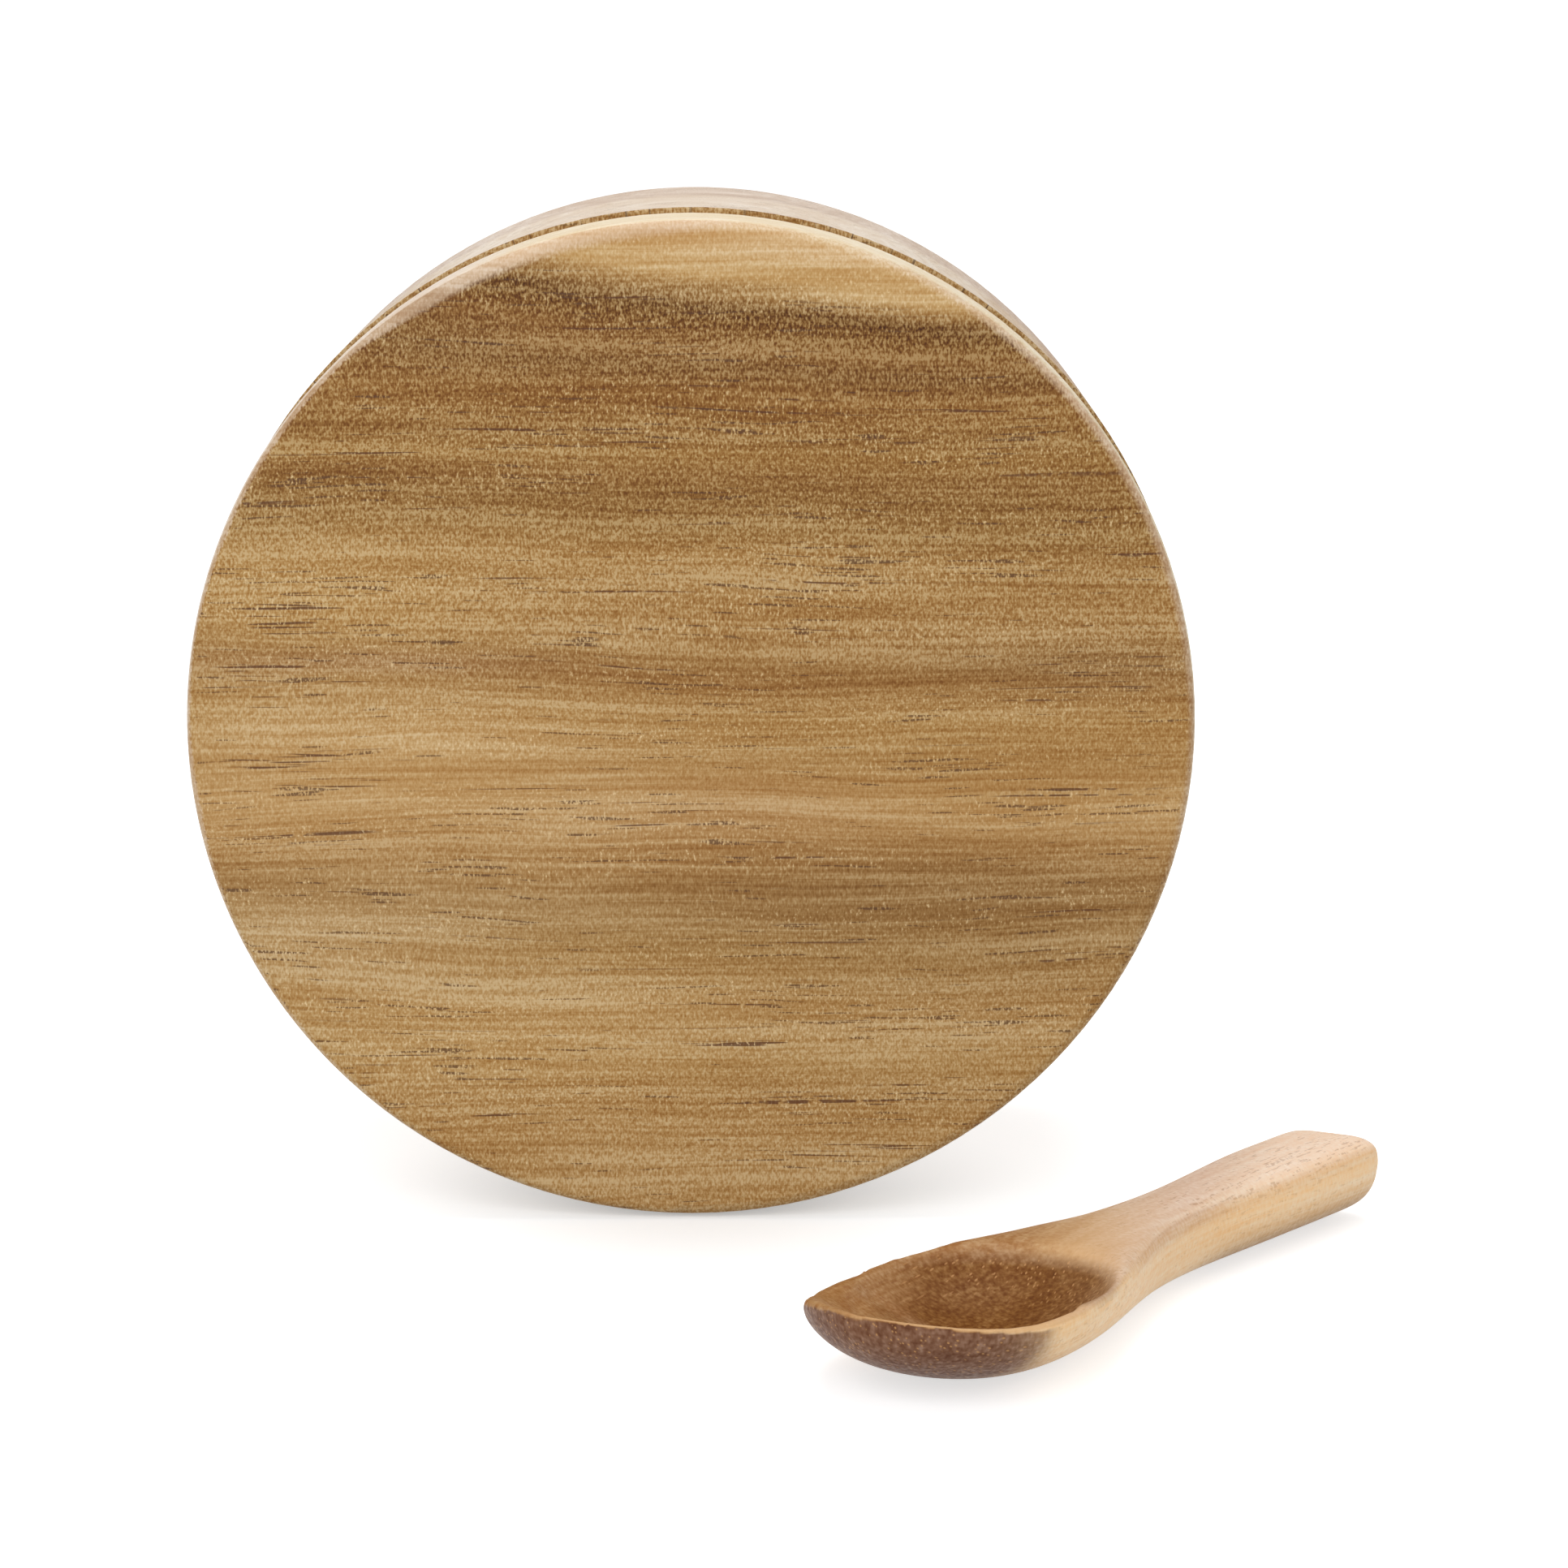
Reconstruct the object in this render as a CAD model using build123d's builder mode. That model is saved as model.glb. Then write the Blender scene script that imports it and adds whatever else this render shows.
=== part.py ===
from build123d import *
from math import cos, pi, radians, sin, sqrt
import os

# Round wooden spice box with a swivelling lid, and the small wooden spoon that goes with it.
# The box stands on its rim with the lid facing -Y, so its turning axis is Y and +Z is up.
# The origin is the centre of the base's flat underside. All sizes are millimetres.

# Base, a turned wooden cup
base_radius = 50.35
base_height = 39.3
wall = 8.5
floor_thickness = 7.3
underside_rounding = 1.5
rim_rounding = 0.25
cavity_mouth_rounding = 0.8
cavity_floor_rounding = 5.0

# Lid, a turned wooden disc with a stepped lower edge
lid_setback = 0.35
lid_thickness = 13.5
lid_gap = 0.3
face_rounding = 1.1
relief_height = 2.7
relief_inset = 0.9
relief_rounding = 0.3

# Pivot pin, pressed into the base's wall, and the parts that turn on it
seat_inset = 5.15
pin_radius = 1.75
pin_in_base = 18.0
pin_in_lid = 7.4
pin_chamfer = 0.3
running_clearance = 0.05
bush_wall = 1.0
bush_length = 8.0
bush_mouth_chamfer = 0.2
ring_groove_depth = 0.4
ring_wire = 0.5
ring_from_pin_end = 1.2
ring_radial_play = 0.1
ring_axial_play = 0.1
ring_mouth = 1.6
washer_radius = 2.8
washer_play = 0.02

# Magnets that hold the lid shut, opposite the pin
magnet_radius = 2.5
magnet_thickness = 2.0
magnet_chamfer = 0.2

# Spoon, carved from one strip of wood
spoon_length = 84.9
bowl_width = 26.2
neck_width = 9.0
handle_width = 11.3
nose_length = 13.0
shoulder_from_front = 14.0
neck_from_front = 52.0
handle_full_from_front = 74.0
rim_height = 7.3
lip_rise = 2.4
lip_thickness = 0.8
handle_height = 7.9
belly_length = 20.0
handle_arch = 0.6
nose_roundness = 1.8
bowl_fullness = 0.71
handle_fullness = 1.3
hollow_from_front = 19.5
hollow_margin = 1.1
hollow_depth = 5.7
hollow_edge_rounding = 0.6
end_rounding = 1.8
bowl_steps = 6
handle_steps = 4

# Where the spoon lies beside the box, and how it leans on its round belly
spoon_front_x = 15.6
spoon_ahead_of_lid = 65.4
spoon_turn = 54.0
spoon_lean = -2.4
spoon_floor_clearance = 0.05

# Places that follow from the sizes above
cavity_radius = base_radius - wall
lid_radius = base_radius - lid_setback
seat_radius = base_radius - seat_inset
rim_y = -base_height
lid_under_y = rim_y - lid_gap
lid_face_y = lid_under_y - lid_thickness
spoon_front_y = lid_face_y - spoon_ahead_of_lid
bush_radius = pin_radius + running_clearance + bush_wall
pin_end_y = lid_under_y - pin_in_lid
pin_foot_y = rim_y + pin_in_base
ring_y = pin_end_y + ring_from_pin_end
hollow_radius = bowl_width / 2 - hollow_margin

axial_section = Plane.XY
pivot_section = Plane.XY.offset(seat_radius)
pivot_axis = Axis((0, 0, seat_radius), (0, 1, 0))
catch_section = Plane.XY.offset(-seat_radius)
catch_axis = Axis((0, 0, -seat_radius), (0, 1, 0))
rim_plane = Plane(origin=(0, rim_y, 0), x_dir=(1, 0, 0), z_dir=(0, -1, 0))
lid_under_plane = Plane(origin=(0, lid_under_y, 0), x_dir=(-1, 0, 0), z_dir=(0, 1, 0))

os.makedirs("parts", exist_ok=True)


def save(part, name):
    """Labels a finished piece and writes it to its own file."""
    part.label = name
    export_step(part, f"parts/{name}.step")
    print(f"{name}: {part.volume:.1f} mm3")


# Base: a cup with a thick wall, rounded at its back edge and inside its floor
with BuildPart() as base:
    with BuildSketch(axial_section):
        with BuildLine():
            Polyline(
                (0, 0),
                (base_radius, 0),
                (base_radius, rim_y),
                (cavity_radius, rim_y),
                (cavity_radius, -floor_thickness),
                (0, -floor_thickness),
                close=True,
            )
        make_face()
    revolve(axis=Axis.Y)
    rings = base.edges().filter_by(GeomType.CIRCLE).group_by(Axis.Y)
    mouth_ring, rim_ring = rings[0].sort_by(SortBy.RADIUS)
    fillet(rings[-1], radius=underside_rounding)
    fillet(rings[1], radius=cavity_floor_rounding)
    fillet(rim_ring, radius=rim_rounding)
    fillet(mouth_ring, radius=cavity_mouth_rounding)
    with BuildSketch(rim_plane):
        with Locations((0, seat_radius)):
            Circle(pin_radius)
    extrude(amount=-pin_in_base, mode=Mode.SUBTRACT)
    with BuildSketch(rim_plane):
        with Locations((0, -seat_radius)):
            Circle(magnet_radius)
    extrude(amount=-magnet_thickness, mode=Mode.SUBTRACT)
save(base.part, "base")

# Lid: a thick disc, rounded at its face, with a step that leaves a shadow line over the base
with BuildPart() as lid:
    with BuildSketch(axial_section):
        with BuildLine():
            Polyline(
                (0, lid_face_y),
                (lid_radius, lid_face_y),
                (lid_radius, lid_under_y - relief_height),
                (lid_radius - relief_inset, lid_under_y - relief_height),
                (lid_radius - relief_inset, lid_under_y),
                (0, lid_under_y),
                close=True,
            )
        make_face()
    revolve(axis=Axis.Y)
    rings = lid.edges().filter_by(GeomType.CIRCLE).group_by(Axis.Y)
    fillet(rings[0], radius=face_rounding)
    fillet(rings[-2].sort_by(SortBy.RADIUS)[-1], radius=relief_rounding)
    fillet(rings[-1], radius=relief_rounding)
    with BuildSketch(lid_under_plane):
        with Locations((0, seat_radius)):
            Circle(bush_radius)
    extrude(amount=-bush_length, mode=Mode.SUBTRACT)
    with BuildSketch(lid_under_plane):
        with Locations((0, -seat_radius)):
            Circle(magnet_radius)
    extrude(amount=-magnet_thickness, mode=Mode.SUBTRACT)
save(lid.part, "lid")

# Pivot pin: a steel rod with a groove near its lid end for the snap ring
groove_radius = pin_radius - ring_groove_depth
groove_half = ring_wire / 2 + ring_axial_play
with BuildPart() as pivot_pin:
    with BuildSketch(pivot_section):
        with BuildLine():
            Polyline(
                (0, pin_foot_y),
                (pin_radius - pin_chamfer, pin_foot_y),
                (pin_radius, pin_foot_y - pin_chamfer),
                (pin_radius, ring_y + groove_half),
                (groove_radius, ring_y + groove_half),
                (groove_radius, ring_y - groove_half),
                (pin_radius, ring_y - groove_half),
                (pin_radius, pin_end_y + pin_chamfer),
                (pin_radius - pin_chamfer, pin_end_y),
                (0, pin_end_y),
                close=True,
            )
        make_face()
    revolve(axis=pivot_axis)
save(pivot_pin.part, "pivot_pin")

# Lid bush: a brass tube pressed into the lid, closed at its inner end, with a groove for the ring
bush_bore = pin_radius + running_clearance
bush_groove = groove_radius + ring_wire + 2 * ring_radial_play
bush_end_y = lid_under_y - bush_length
bore_end_y = pin_end_y - ring_axial_play
with BuildPart() as lid_bush:
    with BuildSketch(pivot_section):
        with BuildLine():
            Polyline(
                (bush_bore + bush_mouth_chamfer, lid_under_y),
                (bush_radius, lid_under_y),
                (bush_radius, bush_end_y),
                (0, bush_end_y),
                (0, bore_end_y),
                (bush_bore, bore_end_y),
                (bush_bore, ring_y - groove_half),
                (bush_groove, ring_y - groove_half),
                (bush_groove, ring_y + groove_half),
                (bush_bore, ring_y + groove_half),
                (bush_bore, lid_under_y - bush_mouth_chamfer),
                close=True,
            )
        make_face()
    revolve(axis=pivot_axis)
save(lid_bush.part, "lid_bush")

# Snap ring: a split wire ring that sits in both grooves and keeps the lid on its pin
ring_inner = groove_radius + ring_radial_play
ring_plane = Plane(origin=(0, ring_y, seat_radius), x_dir=(1, 0, 0), z_dir=(0, -1, 0))
with BuildPart() as snap_ring:
    with BuildSketch(ring_plane):
        Circle(ring_inner + ring_wire)
        Circle(ring_inner, mode=Mode.SUBTRACT)
        with Locations((0, ring_inner)):
            Rectangle(ring_mouth, 2 * ring_inner, mode=Mode.SUBTRACT)
    extrude(amount=ring_wire / 2, both=True)
save(snap_ring.part, "snap_ring")

# Pin washer: a thin plastic washer on the base's rim that sets the lid's gap
washer_plane = Plane(origin=(0, rim_y, seat_radius), x_dir=(1, 0, 0), z_dir=(0, -1, 0))
with BuildPart() as pin_washer:
    with BuildSketch(washer_plane):
        Circle(washer_radius)
        Circle(pin_radius + running_clearance, mode=Mode.SUBTRACT)
    extrude(amount=lid_gap - washer_play)
save(pin_washer.part, "pin_washer")

# Magnets: one flush in the base's rim and one flush in the lid's underside
for name, seat_y, inner_y in (
    ("base_magnet", rim_y, rim_y + magnet_thickness),
    ("lid_magnet", lid_under_y, lid_under_y - magnet_thickness),
):
    with BuildPart() as magnet:
        with BuildSketch(catch_section):
            with Locations((magnet_radius / 2, (seat_y + inner_y) / 2)):
                Rectangle(magnet_radius, magnet_thickness)
        revolve(axis=catch_axis)
        chamfer(magnet.edges().filter_by(GeomType.CIRCLE), length=magnet_chamfer)
    save(magnet.part, name)


# Spoon: a flat-topped body lofted through cross-sections from the lip to the handle's end
def ease(start, end, share):
    """A smooth step from one value to another as share goes from 0 to 1."""
    share = min(max(share, 0), 1)
    return start + (end - start) * (1 - cos(pi * share)) / 2


def half_width(u):
    """Half the spoon's width, u millimetres behind its front."""
    if u < nose_length:
        inward = (1 - u / nose_length) ** nose_roundness
        return bowl_width / 2 * (1 - inward) ** (1 / nose_roundness)
    to_neck = (u - shoulder_from_front) / (neck_from_front - shoulder_from_front)
    to_handle = (u - neck_from_front) / (handle_full_from_front - neck_from_front)
    if to_neck < 1:
        return ease(bowl_width / 2, neck_width / 2, to_neck)
    return ease(neck_width / 2, handle_width / 2, to_handle)


def top_height(u):
    """Height of the spoon's flat top: a raised lip, then the rim, then the handle."""
    lip = lip_rise * max(1 - u / nose_length, 0) ** 2
    return lip + ease(rim_height, handle_height, (u - nose_length) / (neck_from_front - nose_length))


def bottom_height(u):
    """Height of the spoon's underside: a round belly in front, then a shallow arch."""
    if u < belly_length:
        forward = 1 - u / belly_length
        return (rim_height + lip_rise - lip_thickness) * (1 - sqrt(1 - forward**2))
    return ease(0, handle_arch, (u - belly_length) / (neck_from_front - belly_length))


def fullness(u):
    """Weight of the underside's curve: an ellipse under the bowl, squarer under the handle."""
    return ease(bowl_fullness, handle_fullness, (u - nose_length) / (neck_from_front - nose_length))


turn = radians(spoon_turn)
lean = radians(spoon_lean)
spoon_plane = Plane(
    origin=(spoon_front_x, spoon_front_y, -base_radius + spoon_floor_clearance),
    x_dir=(cos(turn), sin(turn), 0),
    z_dir=(sin(lean) * sin(turn), -sin(lean) * cos(turn), cos(lean)),
)
nose_stations = [nose_length * share for share in (0.03, 0.1, 0.2, 0.35, 0.55, 0.8)]
bowl_step = (neck_from_front - nose_length) / bowl_steps
bowl_stations = [nose_length + bowl_step * step for step in range(bowl_steps)]
handle_step = (spoon_length - neck_from_front) / handle_steps
handle_stations = [neck_from_front + handle_step * step for step in range(handle_steps + 1)]
with BuildPart() as spoon:
    for u in nose_stations + bowl_stations + handle_stations:
        station = Plane(
            origin=spoon_plane.from_local_coords((u, 0, 0)),
            x_dir=spoon_plane.y_dir,
            z_dir=spoon_plane.x_dir,
        )
        side = half_width(u)
        top = top_height(u)
        bottom = bottom_height(u)
        weights = [1, fullness(u), 1]
        with BuildSketch(station):
            with BuildLine():
                Line((-side, top), (side, top))
                Bezier((side, top), (side, bottom), (0, bottom), weights=weights)
                Bezier((0, bottom), (-side, bottom), (-side, top), weights=weights)
            make_face()
    loft()
    end_face = spoon.faces().sort_by(spoon_plane.location.x_axis)[-1]
    fillet(end_face.edges(), radius=end_rounding)
    ball_radius = (hollow_radius**2 + hollow_depth**2) / (2 * hollow_depth)
    ball_height = rim_height - hollow_depth + ball_radius
    with Locations(spoon_plane.from_local_coords((hollow_from_front, 0, ball_height))):
        Sphere(ball_radius, mode=Mode.SUBTRACT)
    hollow_rim = spoon.edges(Select.LAST).sort_by(SortBy.LENGTH)[-1]
    fillet(hollow_rim, radius=hollow_edge_rounding)
save(spoon.part, "spoon")
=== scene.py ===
"""Round wooden spice box with its swivelling lid shut, standing on its rim, and its small wooden spoon."""
from math import pi, radians

import bmesh
import bpy
from mathutils import Matrix, Vector


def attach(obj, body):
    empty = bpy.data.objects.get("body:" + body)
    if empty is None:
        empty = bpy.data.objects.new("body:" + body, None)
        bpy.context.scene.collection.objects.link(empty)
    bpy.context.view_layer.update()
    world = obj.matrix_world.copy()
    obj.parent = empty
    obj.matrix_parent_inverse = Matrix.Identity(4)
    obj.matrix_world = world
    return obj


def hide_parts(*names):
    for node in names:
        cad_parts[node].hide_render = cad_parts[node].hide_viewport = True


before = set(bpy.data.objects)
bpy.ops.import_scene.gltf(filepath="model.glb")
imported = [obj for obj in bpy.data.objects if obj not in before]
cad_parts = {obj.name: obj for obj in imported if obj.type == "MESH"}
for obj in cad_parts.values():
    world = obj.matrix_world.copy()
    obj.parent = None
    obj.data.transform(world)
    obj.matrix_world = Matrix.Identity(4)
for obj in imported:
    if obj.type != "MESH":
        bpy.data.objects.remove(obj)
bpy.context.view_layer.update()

# ---------------------------------------------------------------------------------------------
# The view: a long lens half a metre in front of the lid and ten degrees above it, turned a little
# to the right so that the box stands left of the middle and the spoon fits in.
lens = bpy.data.cameras.new("long_lens")
lens.lens = 109.42
lens.sensor_width = 36
lens.clip_start = 0.01
camera = bpy.data.objects.new("camera", lens)
camera.location = (0.00616, -0.5185, 0.0779)
camera.rotation_euler = (pi / 2 - 0.1779, 0, -0.0065)
bpy.context.collection.objects.link(camera)
bpy.context.scene.camera = camera
bpy.context.scene.view_settings.view_transform = "Standard"

# ---------------------------------------------------------------------------------------------
# Base: a cup turned from one block of acacia, with the grain running across it from side to side.
# It is sanded and oiled. Its side is pale, and its rim is brown, with short dark ticks.


def tone(red, green, blue, share=1.0):
    """A colour as it looks on the screen, from 0 to 255, turned into the light it sends."""
    screen = (red / 255, green / 255, blue / 255)
    return [c / 12.92 if c <= 0.04045 else ((c + 0.055) / 1.055) ** 2.4 for c in screen] + [share]


def add(tree, kind, fill=None, **options):
    """Adds a shader node, sets its options, and fills its sockets with values or links."""
    made = tree.nodes.new("ShaderNode" + kind)
    for option, value in options.items():
        setattr(made, option, value)
    for socket, value in (fill or {}).items():
        if isinstance(value, bpy.types.NodeSocket):
            tree.links.new(value, made.inputs[socket])
        else:
            made.inputs[socket].default_value = value
    return made


def calc(tree, operation, *values):
    """Adds a Math node and gives back its result."""
    return add(tree, "Math", dict(enumerate(values)), operation=operation).outputs[0]


def total(tree, *values):
    """Adds up several values."""
    whole = values[0]
    for value in values[1:]:
        whole = calc(tree, "ADD", whole, value)
    return whole


def product(tree, *values):
    """Multiplies several values."""
    whole = values[0]
    for value in values[1:]:
        whole = calc(tree, "MULTIPLY", whole, value)
    return whole


def between(tree, value, low, high, kind="SMOOTHSTEP"):
    """0 where a value is at its low end, 1 at its high end, and a smooth step in between."""
    fill = {"Value": value, "From Min": low, "From Max": high}
    return add(tree, "MapRange", fill, interpolation_type=kind).outputs["Result"]


def blend(tree, share, under, over, how="MIX"):
    """Lays one colour over another by a share."""
    mix = add(tree, "MixRGB", {"Fac": share, "Color1": under, "Color2": over}, blend_type=how)
    return mix.outputs["Color"]


def bands(tree, value, stops):
    """Colours over a height in millimetres, with the strength of the figure as their fourth number."""
    low, high = stops[0][0], stops[-1][0]
    made = add(tree, "ValToRGB", {0: between(tree, value, low, high, "LINEAR")})
    bar = made.color_ramp.elements
    bar.remove(bar[1])
    bar[0].position = 0
    bar[0].color = stops[0][1]
    for millimetres, colour in stops[1:]:
        bar.new((millimetres - low) / (high - low)).color = colour
    return made.outputs["Color"], made.outputs["Alpha"]


def effect(name, inputs, outputs):
    """An empty shader node group with named inputs and outputs."""
    group = bpy.data.node_groups.new(name, "ShaderNodeTree")
    for label, value in inputs:
        kind = "NodeSocketVector" if value is None else "NodeSocketFloat"
        socket = group.interface.new_socket(label, in_out="INPUT", socket_type=kind)
        if value is not None:
            socket.default_value = value
    for label in outputs:
        group.interface.new_socket(label, in_out="OUTPUT", socket_type="NodeSocketFloat")
    given = group.nodes.new("NodeGroupInput").outputs
    return group, given, group.nodes.new("NodeGroupOutput").inputs


def figure(tree, place, scale, detail, rough=0.5, shift=0.0, turn=(0, 0, 0)):
    """Noise over a place in millimetres, with its own cycles per millimetre on each axis."""
    fill = {"Vector": place, "Location": (shift,) * 3, "Rotation": turn, "Scale": scale}
    shifted = add(tree, "Mapping", fill)
    fill = {"Vector": shifted.outputs[0], "Scale": 1, "Detail": detail, "Roughness": rough}
    return add(tree, "TexNoise", fill).outputs["Fac"]


# What acacia looks like once it is cut. X runs along the grain, and all lengths are millimetres.
acacia, given, result = effect(
    "acacia_cut",
    [
        ("Place", None),
        ("Speckle", 0.13),
        ("Pore Length", 7.0),
        ("Pore Width", 0.17),
        ("Pores", 0.6),
        ("Vessel", 0.9),
        ("Ring Change", 1.0),
    ],
    ["Wander", "Bands", "Lines", "Speckles", "Dark Pores", "Hairlines", "Pale Flecks", "Vessels"],
)
# The grain wanders up and down by a few millimetres over the length of a piece.
wander = calc(acacia, "SUBTRACT", figure(acacia, given["Place"], (0.014, 0.03, 0.05), 2), 0.5)
lift = add(acacia, "CombineXYZ", {"Z": calc(acacia, "MULTIPLY", wander, 5)}).outputs[0]
spot = add(acacia, "VectorMath", {0: given["Place"], 1: lift}, operation="ADD").outputs[0]
# The year rings show as wide soft bands and as fine lines.
layers = add(acacia, "CombineXYZ", {"X": 1, "Y": given["Ring Change"], "Z": 1}).outputs[0]
layers = add(acacia, "VectorMath", {0: spot, 1: layers}, operation="MULTIPLY").outputs[0]
soft_bands = figure(acacia, layers, (0.019, 0.12, 0.36), 3, 0.55, 7)
lines = figure(acacia, layers, (0.045, 0.9, 2.3), 3, 0.6, 31)
# Short fibres make speckles all over.
fine = calc(acacia, "DIVIDE", 0.5, given["Speckle"])
close = add(acacia, "VectorMath", {0: spot, "Scale": fine}, operation="SCALE").outputs[0]
speckles = figure(acacia, close, (1.25, 0.9, 0.72), 1, 0.5, 13, (0.3, 0.15, 0.2))
# Dark pores are short strokes that crowd together in places and leave gaps in others.
along = calc(acacia, "DIVIDE", 1, given["Pore Length"])
across = calc(acacia, "DIVIDE", 0.5, given["Pore Width"])
pore_size = add(acacia, "CombineXYZ", {"X": along, "Y": across, "Z": across}).outputs[0]
drawn = add(acacia, "VectorMath", {0: spot, 1: pore_size}, operation="MULTIPLY").outputs[0]
pore_noise = figure(acacia, drawn, (1, 1, 1), 1, 0.5, 21)
crowd = figure(acacia, spot, (0.035, 0.25, 0.35), 1, 0.5, 3)
scarce = calc(acacia, "MULTIPLY_ADD", given["Pores"], -0.14, 0.91)
edge = calc(acacia, "MULTIPLY_ADD", crowd, -0.34, scarce)
pores = between(acacia, pore_noise, edge, calc(acacia, "ADD", edge, 0.05))
broken = calc(acacia, "MULTIPLY", pores, between(acacia, speckles, 0.64, 0.44))
# Hairlines are longer and thinner, and pale flecks are fibres that catch the light.
hair = between(acacia, figure(acacia, spot, (0.04, 1.3, 2.1), 1, 0.5, 41), 0.66, 0.72)
gaps = between(acacia, figure(acacia, spot, (0.5, 0.9, 0.9), 2, 0.6, 51), 0.4, 0.5)
hair = product(acacia, hair, gaps, between(acacia, crowd, 0.4, 0.55))
flecks = product(acacia, between(acacia, speckles, 0.64, 0.76), between(acacia, crowd, 0.45, 0.62))
# Vessels are the open ends of the wood's tubes, which show where it is cut across.
tubes = calc(acacia, "DIVIDE", 1, given["Vessel"])
tubes = add(acacia, "VectorMath", {0: spot, "Scale": tubes}, operation="SCALE").outputs[0]
tubes = add(acacia, "VectorMath", {0: tubes, 1: (0.09, 1, 1)}, operation="MULTIPLY").outputs[0]
tubes = add(acacia, "TexVoronoi", {"Vector": tubes, "Scale": 1}).outputs["Distance"]
vessels = between(acacia, tubes, 0.27, 0.12)
masks = (wander, soft_bands, lines, speckles, broken, hair, flecks, vessels)
for label, mask in zip(result.keys(), masks):
    acacia.links.new(mask, result[label])

# The light and dark of the grain: dark wood is browner as well as darker.
depth, given, result = effect(
    "grain_depth",
    [("Bands", 0.5), ("Lines", 0.5), ("Speckles", 0.5), ("Band", 1.0), ("Line", 1.0), ("Speckle", 1.0)],
    ["Gamma"],
)
sources = (("Bands", "Band", 0.5), ("Lines", "Line", 0.5), ("Speckles", "Speckle", 0.53))
shares = [
    calc(depth, "MULTIPLY", calc(depth, "SUBTRACT", middle, given[mask]), given[share])
    for mask, share, middle in sources
]
depth.links.new(calc(depth, "MAXIMUM", total(depth, 1, *shares), 0.72), result["Gamma"])


def in_millimetres(tree):
    """The place on the object, in millimetres."""
    place = add(tree, "TexCoord").outputs["Object"]
    return add(tree, "VectorMath", {0: place, "Scale": 1000}, operation="SCALE").outputs[0]


def wood(name, roughness):
    """A new wood material, its shader, and its place in millimetres."""
    material = bpy.data.materials.new(name)
    material.use_nodes = True
    tree = material.node_tree
    shader = tree.nodes["Principled BSDF"]
    shader.inputs["Roughness"].default_value = roughness
    shader.inputs["Specular IOR Level"].default_value = 0.2
    return material, tree, shader, in_millimetres(tree)


def grained(tree, cut, colour, band, line, speckle):
    """A colour with the grain's light and dark laid into it."""
    fill = {name: cut[name] for name in ("Bands", "Lines", "Speckles")}
    fill |= {"Band": band, "Line": line, "Speckle": speckle}
    gamma = add(tree, "Group", fill, node_tree=depth).outputs["Gamma"]
    return add(tree, "Gamma", {"Color": colour, "Gamma": gamma}).outputs[0]


def cut_of(tree, place, **sizes):
    """The masks of the cut wood at a place."""
    fill = {label.replace("_", " ").title(): value for label, value in sizes.items()}
    return add(tree, "Group", {"Place": place, **fill}, node_tree=acacia).outputs


def rougher(tree, shader, mask, low, high, rough_low, rough_high):
    """Links a roughness that goes from one value to another as a mask goes from low to high."""
    fill = {"Value": mask, "From Min": low, "From Max": high, "To Min": rough_low, "To Max": rough_high}
    tree.links.new(add(tree, "MapRange", fill).outputs["Result"], shader.inputs["Roughness"])


def sanded(tree, shader, cut, rough_low, rough_high):
    """Roughness that follows the speckles, and pores and grain that lie a hair below the surface."""
    rougher(tree, shader, cut["Speckles"], 0.35, 0.65, rough_high, rough_low)
    holes = calc(tree, "MAXIMUM", cut["Dark Pores"], cut["Hairlines"])
    level = calc(tree, "MULTIPLY_ADD", holes, -1, calc(tree, "MULTIPLY", cut["Lines"], 0.8))
    raised = add(tree, "Bump", {"Height": level, "Strength": 0.35, "Distance": 0.00003})
    tree.links.new(raised.outputs[0], shader.inputs["Normal"])


def facing_of(tree, turn=(0, 0, 0)):
    """Which way the surface faces, along three axes that may be turned."""
    facing = add(tree, "TexCoord").outputs["Normal"]
    facing = add(tree, "Mapping", {"Vector": facing, "Rotation": turn}).outputs[0]
    return add(tree, "SeparateXYZ", {0: facing}).outputs


def axis_distance(tree, axes):
    """How far a place lies from the box's turning axis."""
    squares = calc(tree, "ADD", calc(tree, "POWER", axes["X"], 2), calc(tree, "POWER", axes["Z"], 2))
    return calc(tree, "SQRT", squares)


base_wood, tree, shader, place = wood("oiled_acacia_base", 0.5)
cut = cut_of(tree, place, ring_change=0.16)
axes = add(tree, "SeparateXYZ", {0: place}).outputs
height = calc(tree, "MULTIPLY_ADD", cut["Wander"], 9, axes["Z"])
colour, _ = bands(
    tree,
    height,
    [
        (-50, tone(196, 164, 122)),
        (-35, tone(186, 150, 106)),
        (-20, tone(176, 138, 94)),
        (-8, tone(190, 154, 110)),
        (6, tone(178, 140, 96)),
        (18, tone(168, 130, 88)),
        (30, tone(182, 146, 104)),
        (36, tone(206, 180, 148)),
        (42, tone(217, 199, 176)),
        (50, tone(220, 203, 184)),
    ],
)
# The outside is greyer towards the underside, in its upper half.
from_axis = axis_distance(tree, axes)
greyer = between(tree, calc(tree, "MULTIPLY_ADD", cut["Wander"], 8, axes["Y"]), -22, -15)
greyer = calc(tree, "MULTIPLY", greyer, between(tree, axes["Y"], -0.5, -2))
outside = calc(tree, "MULTIPLY", between(tree, from_axis, 46, 48.5), between(tree, axes["Z"], 6, 34))
washed_grey = tone(202, 181, 163)
colour = blend(tree, product(tree, greyer, outside, 0.75), colour, washed_grey)
colour = grained(tree, cut, colour, 1.1, 1.3, 0.4)
# Wood cut across the grain takes up more oil.
end_cut = between(tree, calc(tree, "ABSOLUTE", facing_of(tree)["X"]), 0.3, 0.9)
colour = blend(tree, calc(tree, "MULTIPLY", end_cut, 0.3), colour, tone(140, 98, 60))
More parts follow.
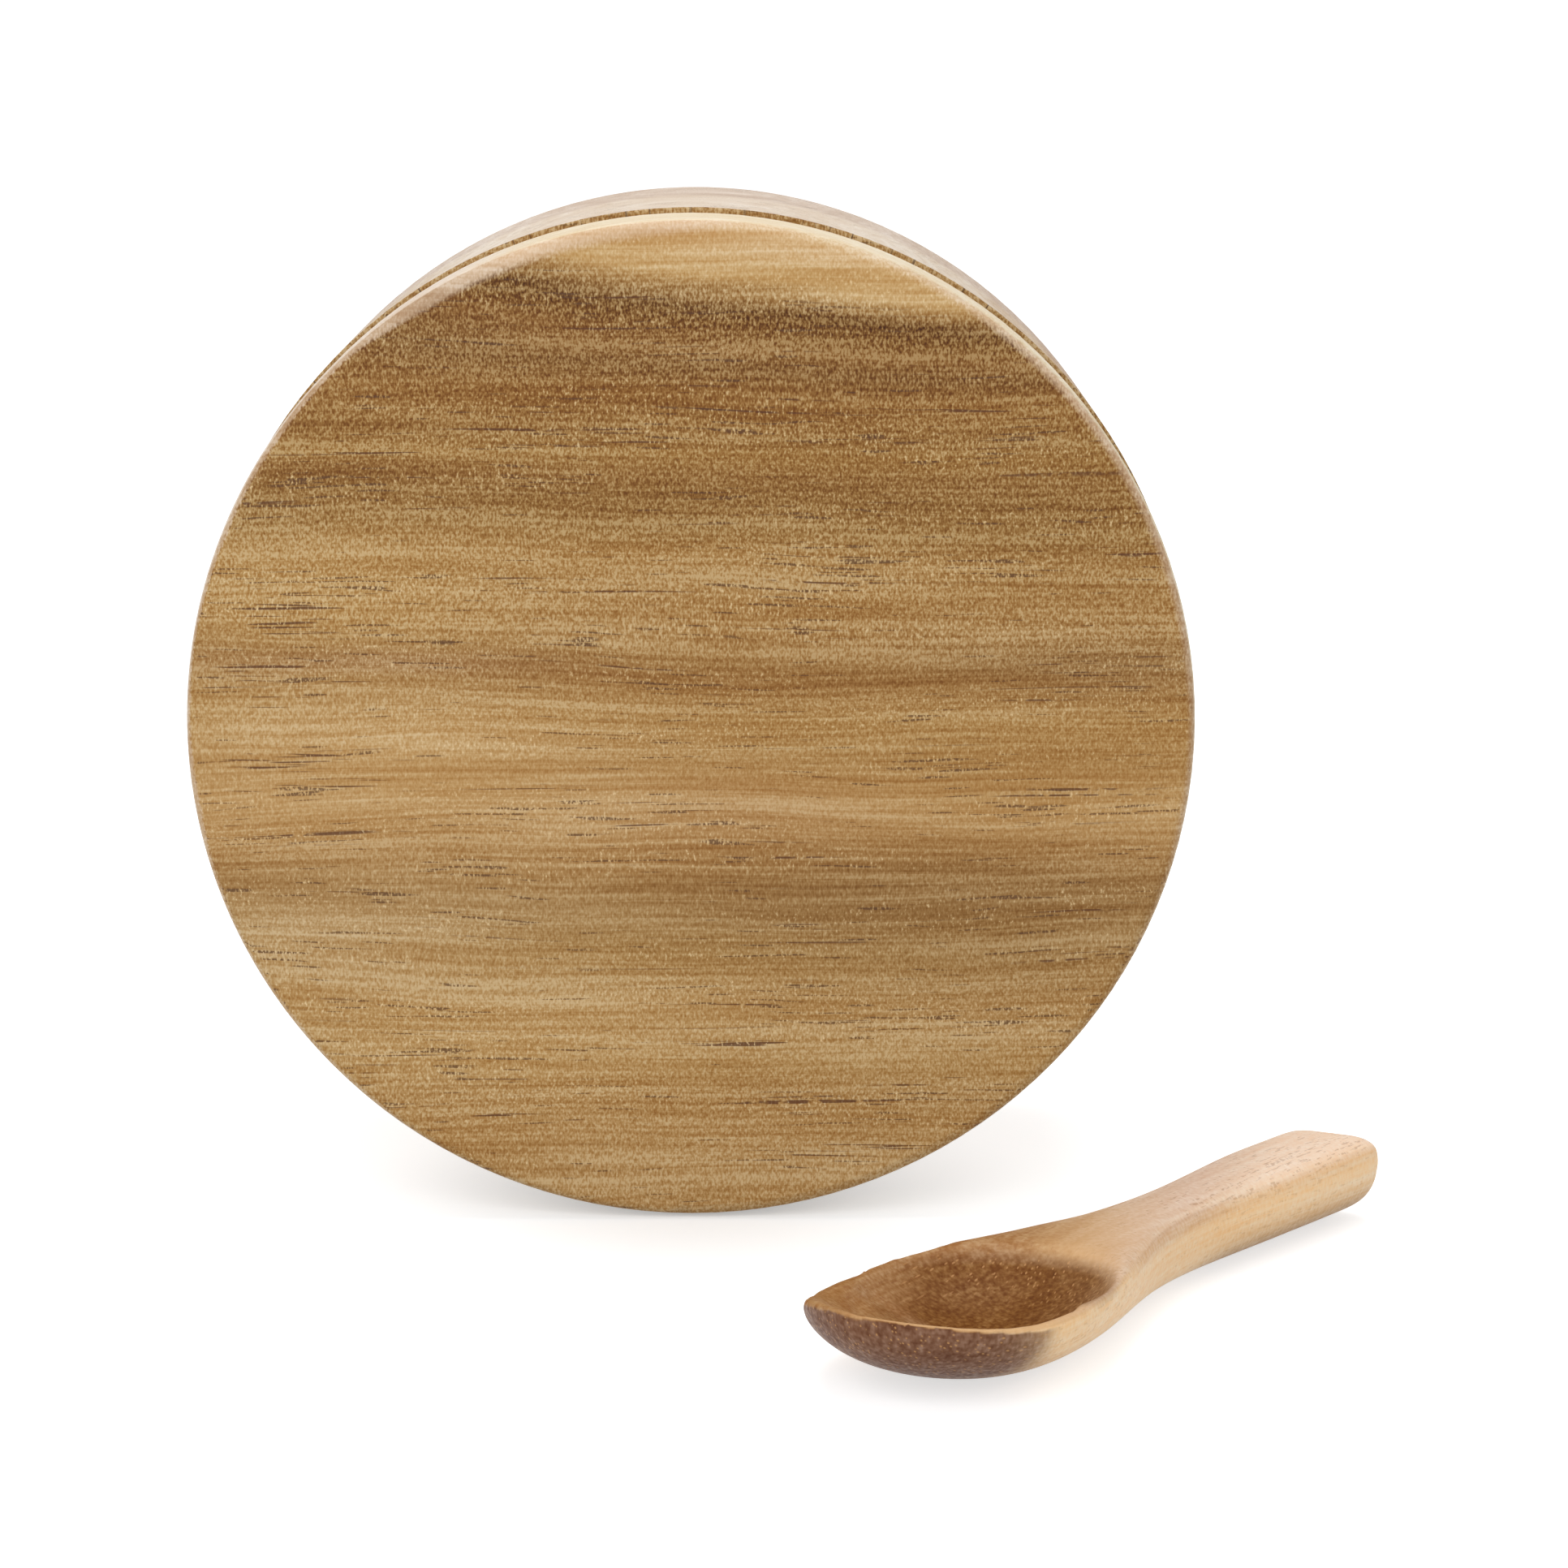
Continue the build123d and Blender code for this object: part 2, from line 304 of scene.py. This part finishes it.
# Short dark ticks mark the brown rim, and they come in groups round it.
rim_radius, rim_start, rim_face = 50, -38.95, -39.1
round_place = calc(tree, "MULTIPLY", calc(tree, "ARCTAN2", axes["Z"], axes["X"]), rim_radius)
round_place = add(tree, "CombineXYZ", {"X": round_place}).outputs[0]
ticks = figure(tree, round_place, (1.7, 1, 1), 2, 0.6, 9)
groups = figure(tree, round_place, (0.11, 1, 1), 1, 0.5, 4)
ticks = calc(tree, "MULTIPLY", between(tree, ticks, 0.56, 0.66), between(tree, groups, 0.3, 0.5))
rim_brown, tick_brown = tone(176, 143, 95), tone(84, 58, 36)
rim_colour = grained(tree, cut, rim_brown, 1, 1.5, 2.4)
rim_colour = blend(tree, calc(tree, "MULTIPLY", ticks, 0.9), rim_colour, tick_brown)
colour = blend(tree, between(tree, axes["Y"], rim_start, rim_face), colour, rim_colour)
pore_brown = tone(84, 56, 34)
colour = blend(tree, calc(tree, "MULTIPLY", cut["Dark Pores"], 0.6), colour, pore_brown)
colour = blend(tree, product(tree, cut["Vessels"], end_cut, 0.5), colour, pore_brown)
tree.links.new(colour, shader.inputs["Base Color"])
sanded(tree, shader, cut, 0.45, 0.6)
bpy.data.objects["base"].data.materials[0] = base_wood

# ---------------------------------------------------------------------------------------------
# Pivot pin and snap ring: a ground steel rod pressed into the base's wall, and the spring wire ring
# in its groove that keeps the lid on. Both are bright and show the fine marks of grinding.
marks, given, result = effect("tool_marks", [("Place", None), ("Spacing", 0.1)], ["Marks", "Smudges"])
rings = add(marks, "VectorMath", {0: given["Place"], 1: (0.02, 1, 0.02)}, operation="MULTIPLY").outputs[0]
density = calc(marks, "DIVIDE", 1, given["Spacing"])
rings = add(marks, "VectorMath", {0: rings, "Scale": density}, operation="SCALE").outputs[0]
marks.links.new(figure(marks, rings, (1, 1, 1), 2), result["Marks"])
marks.links.new(figure(marks, given["Place"], (0.6, 0.6, 0.6), 3, 0.6, 5), result["Smudges"])


def finish_of(name, colour, rough_low, rough_high, spacing, metallic):
    """A material with tool marks and smudges in its colour and its roughness."""
    material = bpy.data.materials.new(name)
    material.use_nodes = True
    tree = material.node_tree
    shader = tree.nodes["Principled BSDF"]
    shader.inputs["Metallic"].default_value = metallic
    fill = {"Place": in_millimetres(tree), "Spacing": spacing}
    tooled = add(tree, "Group", fill, node_tree=marks).outputs
    darker = [c * 0.72 for c in colour[:3]] + [1]
    mark = between(tree, tooled["Marks"], 0.35, 0.65)
    tree.links.new(blend(tree, mark, darker, colour), shader.inputs["Base Color"])
    rougher(tree, shader, tooled["Smudges"], 0.3, 0.7, rough_low, rough_high)
    raised = add(tree, "Bump", {"Height": mark, "Strength": 0.2, "Distance": 0.00002})
    tree.links.new(raised.outputs[0], shader.inputs["Normal"])
    return material


ground_steel = finish_of("ground_steel", tone(196, 196, 194), 0.22, 0.38, 0.08, 1)
bpy.data.objects["pivot_pin"].data.materials[0] = ground_steel
bpy.data.objects["snap_ring"].data.materials[0] = ground_steel

# ---------------------------------------------------------------------------------------------
# Washer: a thin ring of milky nylon, punched from sheet. It lies loose on the rim round the pin and
# sets the gap under the lid.
milky_nylon = finish_of("milky_nylon", tone(236, 233, 222), 0.45, 0.6, 0.3, 0)
bpy.data.objects["pin_washer"].data.materials[0] = milky_nylon

# ---------------------------------------------------------------------------------------------
# Bush: a sleeve turned from brass rod and pressed into the lid. It runs on the pin, so that the wood
# doesn't wear.
turned_brass = finish_of("turned_brass", tone(214, 178, 104), 0.25, 0.42, 0.12, 1)
bpy.data.objects["lid_bush"].data.materials[0] = turned_brass

# ---------------------------------------------------------------------------------------------
# Magnets: two small discs with nickel plating, one let into the base's rim and one into the lid's
# underside. They hold the lid shut.
nickel = finish_of("nickel_plate", tone(206, 204, 198), 0.12, 0.3, 0.9, 1)
bpy.data.objects["base_magnet"].data.materials[0] = nickel
bpy.data.objects["lid_magnet"].data.materials[0] = nickel

# ---------------------------------------------------------------------------------------------
# Lid: a disc turned from the same block, its face rounded off by hand with sandpaper. A pale strip
# of sapwood runs along its top, above the darkest band of the heartwood.
lid_wood, tree, shader, place = wood("oiled_acacia_lid", 0.5)
cut = cut_of(tree, place)
axes = add(tree, "SeparateXYZ", {0: place}).outputs
# The bands rise a little from left to right, more so at the top, and are never quite straight.
tilt = calc(tree, "MULTIPLY_ADD", between(tree, axes["Z"], 31, 43), 0.12, 0.015)
height = calc(tree, "MULTIPLY_ADD", axes["X"], tilt, axes["Z"])
height = calc(tree, "MULTIPLY_ADD", cut["Wander"], 5, height)
height = calc(tree, "MULTIPLY_ADD", calc(tree, "SUBTRACT", cut["Bands"], 0.5), 3, height)
colour, strength = bands(
    tree,
    height,
    [
        (-50, tone(176, 140, 90, 0.5)),
        (-42, tone(178, 141, 90, 0.5)),
        (-38, tone(174, 137, 86, 0.55)),
        (-34, tone(179, 143, 91, 0.45)),
        (-28, tone(182, 146, 95, 0.45)),
        (-22, tone(170, 135, 84, 0.4)),
        (-18, tone(162, 126, 77, 0.3)),
        (-14, tone(170, 131, 80, 0.35)),
        (-11, tone(178, 139, 87, 0.3)),
        (-8, tone(181, 142, 89, 0.25)),
        (-4, tone(174, 136, 83, 0.35)),
        (0.5, tone(174, 136, 82, 0.45)),
        (4.6, tone(163, 124, 73, 0.45)),
        (6.6, tone(164, 126, 75, 0.45)),
        (10, tone(172, 134, 82, 0.6)),
        (17, tone(172, 134, 81, 0.6)),
        (20, tone(158, 121, 69, 0.7)),
        (23, tone(148, 110, 59, 0.65)),
        (25, tone(152, 113, 62, 0.65)),
        (27.3, tone(166, 128, 74, 0.65)),
        (29.5, tone(153, 114, 62, 0.7)),
        (33, tone(156, 116, 64, 0.7)),
        (36, tone(137, 99, 52, 0.8)),
        (38.4, tone(146, 106, 57, 0.7)),
        (40.2, tone(138, 100, 51, 1.0)),
        (41.8, tone(126, 90, 45, 1.0)),
        (43.2, tone(164, 128, 79, 0.7)),
        (44.8, tone(197, 162, 110, 0.3)),
        (46.5, tone(199, 163, 111, 0.3)),
        (48.5, tone(209, 174, 127, 0.3)),
        (50, tone(211, 177, 131, 0.3)),
    ],
)


def patch(tree, x, z, half_length, half_height):
    """A soft round patch on the lid, longer along the grain than across it."""
    apart_x = calc(tree, "DIVIDE", calc(tree, "SUBTRACT", axes["X"], x), half_length)
    apart_z = calc(tree, "DIVIDE", calc(tree, "SUBTRACT", height, z), half_height)
    apart = calc(tree, "ADD", calc(tree, "POWER", apart_x, 2), calc(tree, "POWER", apart_z, 2))
    return calc(tree, "EXPONENT", calc(tree, "MULTIPLY", apart, -1))


# Patches lighter or darker than the band they lie in: partly stains, and partly painted light, as most
# lighter ones lie on the left and most darker ones on the right, where the light falls off.
for x, z, half_length, half_height, over, share in (
    (-38, 12, 20, 7, tone(192, 156, 101), 0.55),
    (-30, 5.4, 20, 1.3, tone(150, 108, 65), 0.6),
    (-30, -3, 24, 5, tone(204, 170, 120), 0.65),
    (4, -9.5, 15, 3.5, tone(178, 139, 91), 0.6),
    (26, -16.5, 26, 3.6, tone(138, 102, 57), 0.65),
    (38, 7, 18, 3.2, tone(144, 108, 63), 0.6),
    (34, -20, 22, 8, tone(148, 112, 65), 0.5),
    (40, 22, 20, 8, tone(152, 115, 64), 0.5),
    (-20, -33, 20, 8, tone(192, 156, 103), 0.5),
    (-36, -22, 16, 4, tone(194, 162, 116), 0.5),
):
    mask = calc(tree, "MULTIPLY", patch(tree, x, z, half_length, half_height), share)
    colour = blend(tree, mask, colour, over)
colour = grained(tree, cut, colour, 0.9, 1.2, calc(tree, "MULTIPLY", strength, 3.2))

# Long dark strokes, which crowd together in some places.
stroke_places = (
    (-40, 10, 9, 3.5),
    (-43, 3, 7, 3),
    (-36, -5, 12, 4),
    (-32, 27, 8, 1.6),
    (-26, 21.5, 6, 1.2),
    (-4, 29.3, 9, 1),
    (20, 29.4, 14, 1.3),
    (28, 32, 10, 1),
    (-10, 23.4, 5, 1),
    (43, 18, 5, 1.2),
    (6, -32, 6, 1),
    (-21, -36.6, 6, 1),
    (-14, -40.7, 12, 1.2),
    (16, -43.5, 8, 1),
    (-30, 38, 8, 1.5),
)
crowded = total(tree, *(patch(tree, *where) for where in stroke_places))
strokes = figure(tree, place, (0.06, 1, 2.4), 2, 0.55, 61)
least = calc(tree, "MULTIPLY_ADD", calc(tree, "MINIMUM", crowded, 1), -0.17, 0.73)
strokes = between(tree, strokes, least, calc(tree, "ADD", least, 0.04))
strokes = calc(tree, "MULTIPLY", strokes, between(tree, cut["Speckles"], 0.75, 0.58))
strokes = calc(tree, "MAXIMUM", strokes, cut["Hairlines"])
# The sapwood has neither strokes nor dark pores.
heartwood = between(tree, height, 44.4, 43)
colour = blend(tree, product(tree, strokes, heartwood, 0.85), colour, tone(86, 50, 30))
colour = blend(tree, product(tree, cut["Dark Pores"], heartwood, 0.75), colour, tone(84, 56, 38))
colour = blend(tree, calc(tree, "MULTIPLY", cut["Pale Flecks"], 0.5), colour, tone(236, 208, 160))

# The hand sanding took most off the rounding at the top left, less at the sides, and nothing below,
# so the pale wood under the oil shows in a band of uneven width.
from_axis = axis_distance(tree, axes)
most_sanded = (-0.309, 0, 0.951)
band_end = 50.25
upward = add(tree, "VectorMath", {0: place, 1: most_sanded}, operation="DOT_PRODUCT").outputs["Value"]
upward = calc(tree, "DIVIDE", upward, from_axis)
width = calc(tree, "MULTIPLY", between(tree, upward, -0.9, -0.4), 0.55)
width = calc(tree, "MULTIPLY_ADD", between(tree, upward, 0.9, 0.985), 0.9, width)
uneven = calc(tree, "MULTIPLY_ADD", cut["Speckles"], 0.5, calc(tree, "MULTIPLY", cut["Wander"], 1.2))
band_start = calc(tree, "SUBTRACT", band_end, width)
worn = calc(tree, "ADD", calc(tree, "SUBTRACT", from_axis, band_start), uneven)
sanded_colour, _ = bands(
    tree,
    calc(tree, "DIVIDE", axes["X"], from_axis),
    [
        (-1, tone(196, 166, 132)),
        (-0.87, tone(192, 162, 130)),
        (-0.5, tone(188, 160, 131)),
        (-0.34, tone(219, 192, 162)),
        (-0.17, tone(214, 184, 149)),
        (0, tone(217, 187, 154)),
        (0.26, tone(222, 200, 166)),
        (0.5, tone(220, 195, 164)),
        (0.8, tone(206, 177, 147)),
        (1, tone(192, 162, 130)),
    ],
)
lower_half = between(tree, calc(tree, "DIVIDE", axes["Z"], from_axis), 0, -0.6)
sanded_colour = blend(tree, lower_half, sanded_colour, tone(199, 169, 129))
rounding = grained(tree, cut, sanded_colour, 1, 1, 0.8)
faded = between(tree, axes["X"], -36, -14)
worn_low = calc(tree, "MULTIPLY_ADD", faded, -0.5, -0.1)
worn_high = calc(tree, "MULTIPLY_ADD", faded, 0.3, 0.2)
colour = blend(tree, between(tree, worn, worn_low, worn_high), colour, rounding)
# The lid's side is pale like the sapwood, more so in its upper half.
side = blend(tree, between(tree, axes["X"], -12, -26), tone(229, 211, 179), tone(223, 204, 184))
side = grained(tree, cut, side, 0.8, 1.2, 0.3)
on_side = between(tree, calc(tree, "ABSOLUTE", facing_of(tree)["Y"]), 0.6, 0.4)
pale = calc(tree, "MULTIPLY_ADD", between(tree, height, -12, 12), 0.65, 0.35)
pale = calc(tree, "MULTIPLY", on_side, pale)
colour = blend(tree, pale, colour, side)
tree.links.new(colour, shader.inputs["Base Color"])
sanded(tree, shader, cut, 0.42, 0.6)
bpy.data.objects["lid"].data.materials[0] = lid_wood

# ---------------------------------------------------------------------------------------------
# Spoon: carved from one strip of the same wood, with the grain along it, and sanded smooth all over,
# so that none of its edges is sharp. End grain took up more oil and is darker, with pale pores.
spoon_x, spoon_y, spoon_z, spoon_turn = 15.6, -118.5, -50.3, radians(-54)
nose, scooped, handle_start = 0.013, 0.017, 0.025
half_width, rim_width, nose_roundness = 0.0131, 0.0012, 1.8
rim_height, lip_rise = 0.0073, 0.0021
hollow_height, floor_rise = 0.002, 0.0074
spare_wood = 0.0008
tip_length = 0.004
rounds_all_over, rounds_past_tip, sanding_rounds = 10, 19, 130


def ramp(value, low, high):
    """0 up to a low value, 1 from a high one, and straight in between."""
    return min(max((value - low) / (high - low), 0), 1)


def on_line(points, along, otherwise):
    """The height of a line through points at a distance from the spoon's front end."""
    for (start, first), (stop, last) in zip(points, points[1:]):
        if start <= along < stop:
            return first + (last - first) * (along - start) / (stop - start)
    return otherwise


def sand(blank, vertices):
    """Takes the edges off by one light pass over some of the vertices."""
    axes = {"use_axis_x": True, "use_axis_y": True, "use_axis_z": True}
    bmesh.ops.smooth_vert(blank, verts=vertices, factor=0.5, **axes)


# The blank is a copy of the CAD spoon with a fine even skin, and five light passes take out the
# steps that the remesh leaves in it.
blank = bmesh.new()
blank.from_mesh(bpy.data.objects["spoon"].data)
bmesh.ops.remove_doubles(blank, verts=blank.verts, dist=0.000005)
spoon_mesh = bpy.data.meshes.new("spoon_carved")
blank.to_mesh(spoon_mesh)
blank.free()
spoon = bpy.data.objects.new("spoon_carved", spoon_mesh)
bpy.context.collection.objects.link(spoon)
remesh = spoon.modifiers.new("fine_skin", "REMESH")
remesh.mode = "VOXEL"
remesh.voxel_size = 0.0003
fine_skin = bpy.data.meshes.new_from_object(spoon.evaluated_get(bpy.context.evaluated_depsgraph_get()))
spoon.modifiers.clear()
carved = bmesh.new()
carved.from_mesh(fine_skin)
for _ in range(5):
    sand(carved, carved.verts)
carved.normal_update()

# The front is scooped out, and the top and the handle's end get a little spare wood to sand off.
shift = Matrix.Translation((-spoon_x / 1000, -spoon_y / 1000, -spoon_z / 1000))
to_spoon = Matrix.Rotation(spoon_turn, 4, "Z") @ shift
for vertex in carved.verts:
    along, aside, up = to_spoon @ vertex.co
    upward = vertex.normal.z
    if 0 < along < scooped and upward > 0:
        inward = max(1 - along / nose, 0)
        outline = half_width * (1 - inward**nose_roundness) ** (1 / nose_roundness)
        hollow_edge = max(outline - rim_width, 0.0005)
        rim = rim_height + lip_rise * inward**2
        hollow_floor = hollow_height + floor_rise * (1 - along / scooped) ** 1.6
        scoop = hollow_floor + (rim - hollow_floor) * (aside / hollow_edge) ** 2
        vertex.co.z -= max(up - scoop, 0) * ramp(upward, 0, 0.25)
    vertex.co.z += spare_wood * max(upward, 0) * ramp(along, 0, 0.012)
    vertex.co.x += spare_wood * ramp(along, 0.07, 0.095)

# The sanding: least at the tip, more on the bowl, most on the handle.
lengthways = {vertex: (to_spoon @ vertex.co).x for vertex in carved.verts}
for turn in range(sanding_rounds):
    if turn < rounds_all_over:
        reach = -1
    elif turn < rounds_past_tip:
        reach = tip_length
    else:
        reach = handle_start + 0.018 * turn / sanding_rounds
    sand(carved, [vertex for vertex, along in lengthways.items() if along > reach])

# The crest of the near rim is levelled, and the far rim is worn down.
crest_line = (
    (0, 0.00913),
    (0.002, 0.0088),
    (0.004, 0.00846),
    (0.006, 0.00819),
    (0.009, 0.00795),
    (0.017, 0.00795),
    (0.022, 0.00806),
)
worn_rim = ((0.004, 0), (0.01, 0.0007), (0.012, 0.0007), (0.017, 0.0005), (0.0225, 0))
for vertex in carved.verts:
    along, aside, up = to_spoon @ vertex.co
    vertex.co.z -= max(up - on_line(crest_line, along, up), 0)
    far_rim = ramp(aside, 0.004, 0.01) * ramp(up, 0.003, 0.006)
    vertex.co.z -= far_rim * on_line(worn_rim, along, 0)
for face in carved.faces:
    face.smooth = True
carved.to_mesh(spoon_mesh)
carved.free()
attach(spoon, "spoon")
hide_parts("spoon")

# The wood's own axes: X from the spoon's front end along it, Y across it, and Z up from its rim.
spoon_wood, tree, shader, place = wood("oiled_acacia_spoon", 0.4)
shader.inputs["Specular IOR Level"].default_value = 0.08
rim_level = spoon_z + 7.3
turned = add(tree, "Mapping", {"Vector": place, "Location": (-spoon_x, -spoon_y, -rim_level)}).outputs[0]
turned = add(tree, "Mapping", {"Vector": turned, "Rotation": (0, 0, spoon_turn)}).outputs[0]
cut = cut_of(tree, turned, pore_length=1.8, pore_width=0.13, speckle=0.22, pores=0.9, vessel=0.46)
axes = add(tree, "SeparateXYZ", {0: turned}).outputs
facing = facing_of(tree, (0, 0, spoon_turn))
# The brown heart of the strip is at the bowl, and the handle is pale.
heart = calc(tree, "MULTIPLY_ADD", axes["Y"], -2, axes["X"])
heart = calc(tree, "MULTIPLY_ADD", cut["Wander"], 16, heart)
colour, _ = bands(
    tree,
    heart,
    [
        (-14, tone(164, 120, 74)),
        (0, tone(172, 126, 80)),
        (16, tone(164, 118, 74)),
        (22, tone(174, 130, 85)),
        (28, tone(190, 150, 106)),
        (36, tone(206, 171, 133)),
        (44, tone(217, 187, 160)),
        (57, tone(224, 194, 170)),
        (64, tone(231, 202, 176)),
        (72, tone(243, 215, 189)),
        (86, tone(244, 216, 190)),
    ],
)
# The handle's sides are more golden than its top, with a brown streak along the edge between them, and
# painted shade darkens its lower edge, which faces down.
golden = calc(tree, "MULTIPLY", between(tree, facing["Z"], 0.97, 0.25), between(tree, heart, 26, 40))
colour = blend(tree, calc(tree, "MULTIPLY", golden, 0.85), colour, tone(252, 214, 164))
edge_streak = product(
    tree,
    between(tree, facing["Z"], 0.76, 0.6),
    between(tree, facing["Z"], 0, 0.3),
    between(tree, axes["X"], 26, 40),
    calc(tree, "MULTIPLY_ADD", between(tree, axes["X"], 60, 50), 0.55, 0.4),
)
colour = blend(tree, edge_streak, colour, (0.78, 0.7, 0.68, 1), "MULTIPLY")
# Painted shade: the lower edge that faces down grows darker towards the handle's end.
underside_shade = calc(tree, "MULTIPLY", between(tree, facing["Z"], 0, -0.85), between(tree, axes["X"], 48, 60))
colour = blend(tree, underside_shade, colour, (0.56, 0.5, 0.44, 1), "MULTIPLY")
colour = grained(tree, cut, colour, 0.8, 0.9, 0.6)
pore_depth = calc(tree, "MULTIPLY", cut["Dark Pores"], calc(tree, "MULTIPLY_ADD", golden, -0.2, 0.36))
colour = blend(tree, pore_depth, colour, tone(150, 98, 66))
# A pale line runs along the crest of the near rim: a painted highlight where the crest catches the light,
# over wood that the sandpaper left paler.
crest = product(
    tree,
    between(tree, facing["Z"], 0.1, 0.6),
    between(tree, axes["Z"], -1.3, -0.3),
    between(tree, axes["Y"], 6, -6),
)
sanded_crest_and_highlight = product(tree, crest, between(tree, heart, 60, 34), 0.8)
colour = blend(tree, sanded_crest_and_highlight, colour, tone(216, 174, 126))
# End grain shows on the outside of the front and in the hollow.
end_grain = product(
    tree,
    between(tree, facing["X"], -0.05, -0.35),
    between(tree, heart, 54, 29),
    between(tree, facing["Z"], 0.35, 0.05),
    calc(tree, "SUBTRACT", 1, crest),
)
faces_up = between(tree, facing["Z"], 0, 0.2)
front_part = product(tree, between(tree, axes["Z"], -0.4, -2.6), faces_up, between(tree, axes["X"], 19, 15))
seen_from_above = add(tree, "VectorMath", {0: turned, 1: (1.04, 1, 0)}, operation="MULTIPLY").outputs[0]
round_middle = (20.28, 0, 0)
fill = {0: seen_from_above, 1: round_middle}
from_middle = add(tree, "VectorMath", fill, operation="DISTANCE").outputs["Value"]
round_part = product(tree, between(tree, from_middle, 12.7, 10.9), between(tree, axes["X"], 15, 19), faces_up)
hollow = calc(tree, "MAXIMUM", front_part, round_part)
end_colour = blend(tree, hollow, tone(119, 83, 64), tone(117, 72, 29))
end_colour = grained(tree, cut, end_colour, 0.8, 0.6, 1.0)
open_ends = product(tree, cut["Vessels"], between(tree, facing["Z"], 0.97, 0.8), 0.75)
end_colour = blend(tree, open_ends, end_colour, tone(190, 142, 92))
in_heart = calc(tree, "MULTIPLY", between(tree, heart, 64, 38), between(tree, heart, -12, 8))
oiled = calc(tree, "MAXIMUM", end_grain, calc(tree, "MULTIPLY", hollow, in_heart))
colour = blend(tree, calc(tree, "MULTIPLY", oiled, 0.92), colour, end_colour)
tree.links.new(colour, shader.inputs["Base Color"])
sanded(tree, shader, cut, 0.36, 0.5)
spoon_mesh.materials.clear()
spoon_mesh.materials.append(spoon_wood)

# ---------------------------------------------------------------------------------------------
# Table and light: a wide flat sheet of paper that shows white wherever no shadow falls, a broad soft
# light in front and a little to the left, a second one overhead, and a weak one at the right.
floor_height = -0.05035
sheet = bmesh.new()
bmesh.ops.create_grid(sheet, x_segments=1, y_segments=1, size=12)
bmesh.ops.translate(sheet, verts=sheet.verts, vec=(0, 0, floor_height))
table_mesh = bpy.data.meshes.new("table")
sheet.to_mesh(table_mesh)
sheet.free()
table = bpy.data.objects.new("table", table_mesh)
bpy.context.collection.objects.link(table)


def seen_directly(tree):
    """1 for rays from the camera, from a gloss or through glass, and 0 for light that bounces."""
    path = add(tree, "LightPath").outputs
    share = calc(tree, "MAXIMUM", path["Is Camera Ray"], path["Is Glossy Ray"])
    return calc(tree, "MAXIMUM", share, path["Is Transmission Ray"])


paper = bpy.data.materials.new("white_paper")
paper.use_nodes = True
tree = paper.node_tree
shader = tree.nodes["Principled BSDF"]
shader.inputs["Base Color"].default_value = (0.735, 0.75, 0.765, 1)
shader.inputs["Roughness"].default_value = 1
shader.inputs["Specular IOR Level"].default_value = 0
shader.inputs["Emission Color"].default_value = (1, 1, 1, 1)
place = add(tree, "TexCoord").outputs["Object"]
# The paper glows less under the box's foot and round the spoon: a painted shadow that greys the floor there
# and deepens their real shadows.
box_foot, spoon_middle = (0, -0.053, floor_height), Vector((0.0426, -0.0841, 0))
distance = add(tree, "VectorMath", {0: place, 1: box_foot}, operation="DISTANCE").outputs["Value"]
glow = calc(tree, "MULTIPLY_ADD", between(tree, distance, 0, 0.045), 0.34, 0.38)
glow = calc(tree, "MULTIPLY_ADD", between(tree, distance, 0.15, 0.8), 0.08, glow)
by_spoon = add(tree, "Mapping", {"Vector": place, "Location": -spoon_middle}).outputs[0]
by_spoon = add(tree, "Mapping", {"Vector": by_spoon, "Rotation": (0, 0, spoon_turn)}).outputs[0]
by_spoon = add(tree, "VectorMath", {0: by_spoon, 1: (0.36, 1, 0)}, operation="MULTIPLY").outputs[0]
by_spoon = add(tree, "VectorMath", {0: by_spoon}, operation="LENGTH").outputs["Value"]
glow = calc(tree, "MULTIPLY_ADD", between(tree, by_spoon, 0.04, 0.012), -0.09, glow)
glow = calc(tree, "MULTIPLY", seen_directly(tree), glow)
tree.links.new(glow, shader.inputs["Emission Strength"])
table_mesh.materials.append(paper)

world = bpy.data.worlds.new("studio")
bpy.context.scene.world = world
world.use_nodes = True
tree = world.node_tree
room = blend(tree, seen_directly(tree), (0.44, 0.44, 0.44, 1), (1, 1, 1, 1))
tree.links.new(room, tree.nodes["Background"].inputs["Color"])


def softbox(name, place, aim, width, height, watts):
    """A rectangular area light that faces a point."""
    light = bpy.data.lights.new(name, "AREA")
    light.shape = "RECTANGLE"
    light.size = width
    light.size_y = height
    light.energy = watts
    lamp = bpy.data.objects.new(name, light)
    lamp.location = place
    lamp.rotation_euler = (Vector(aim) - Vector(place)).to_track_quat("-Z", "Y").to_euler()
    bpy.context.collection.objects.link(lamp)


softbox("front_softbox", (-0.36, -0.78, 0.42), (0, -0.05, 0), 0.8, 0.8, 4.3)
softbox("top_softbox", (0.02, 0.1, 0.7), (0.02, -0.06, 0), 0.5, 0.5, 2.2)
softbox("right_fill", (0.6, -0.6, 0.3), (0.03, -0.08, -0.03), 0.4, 0.4, 1.0)
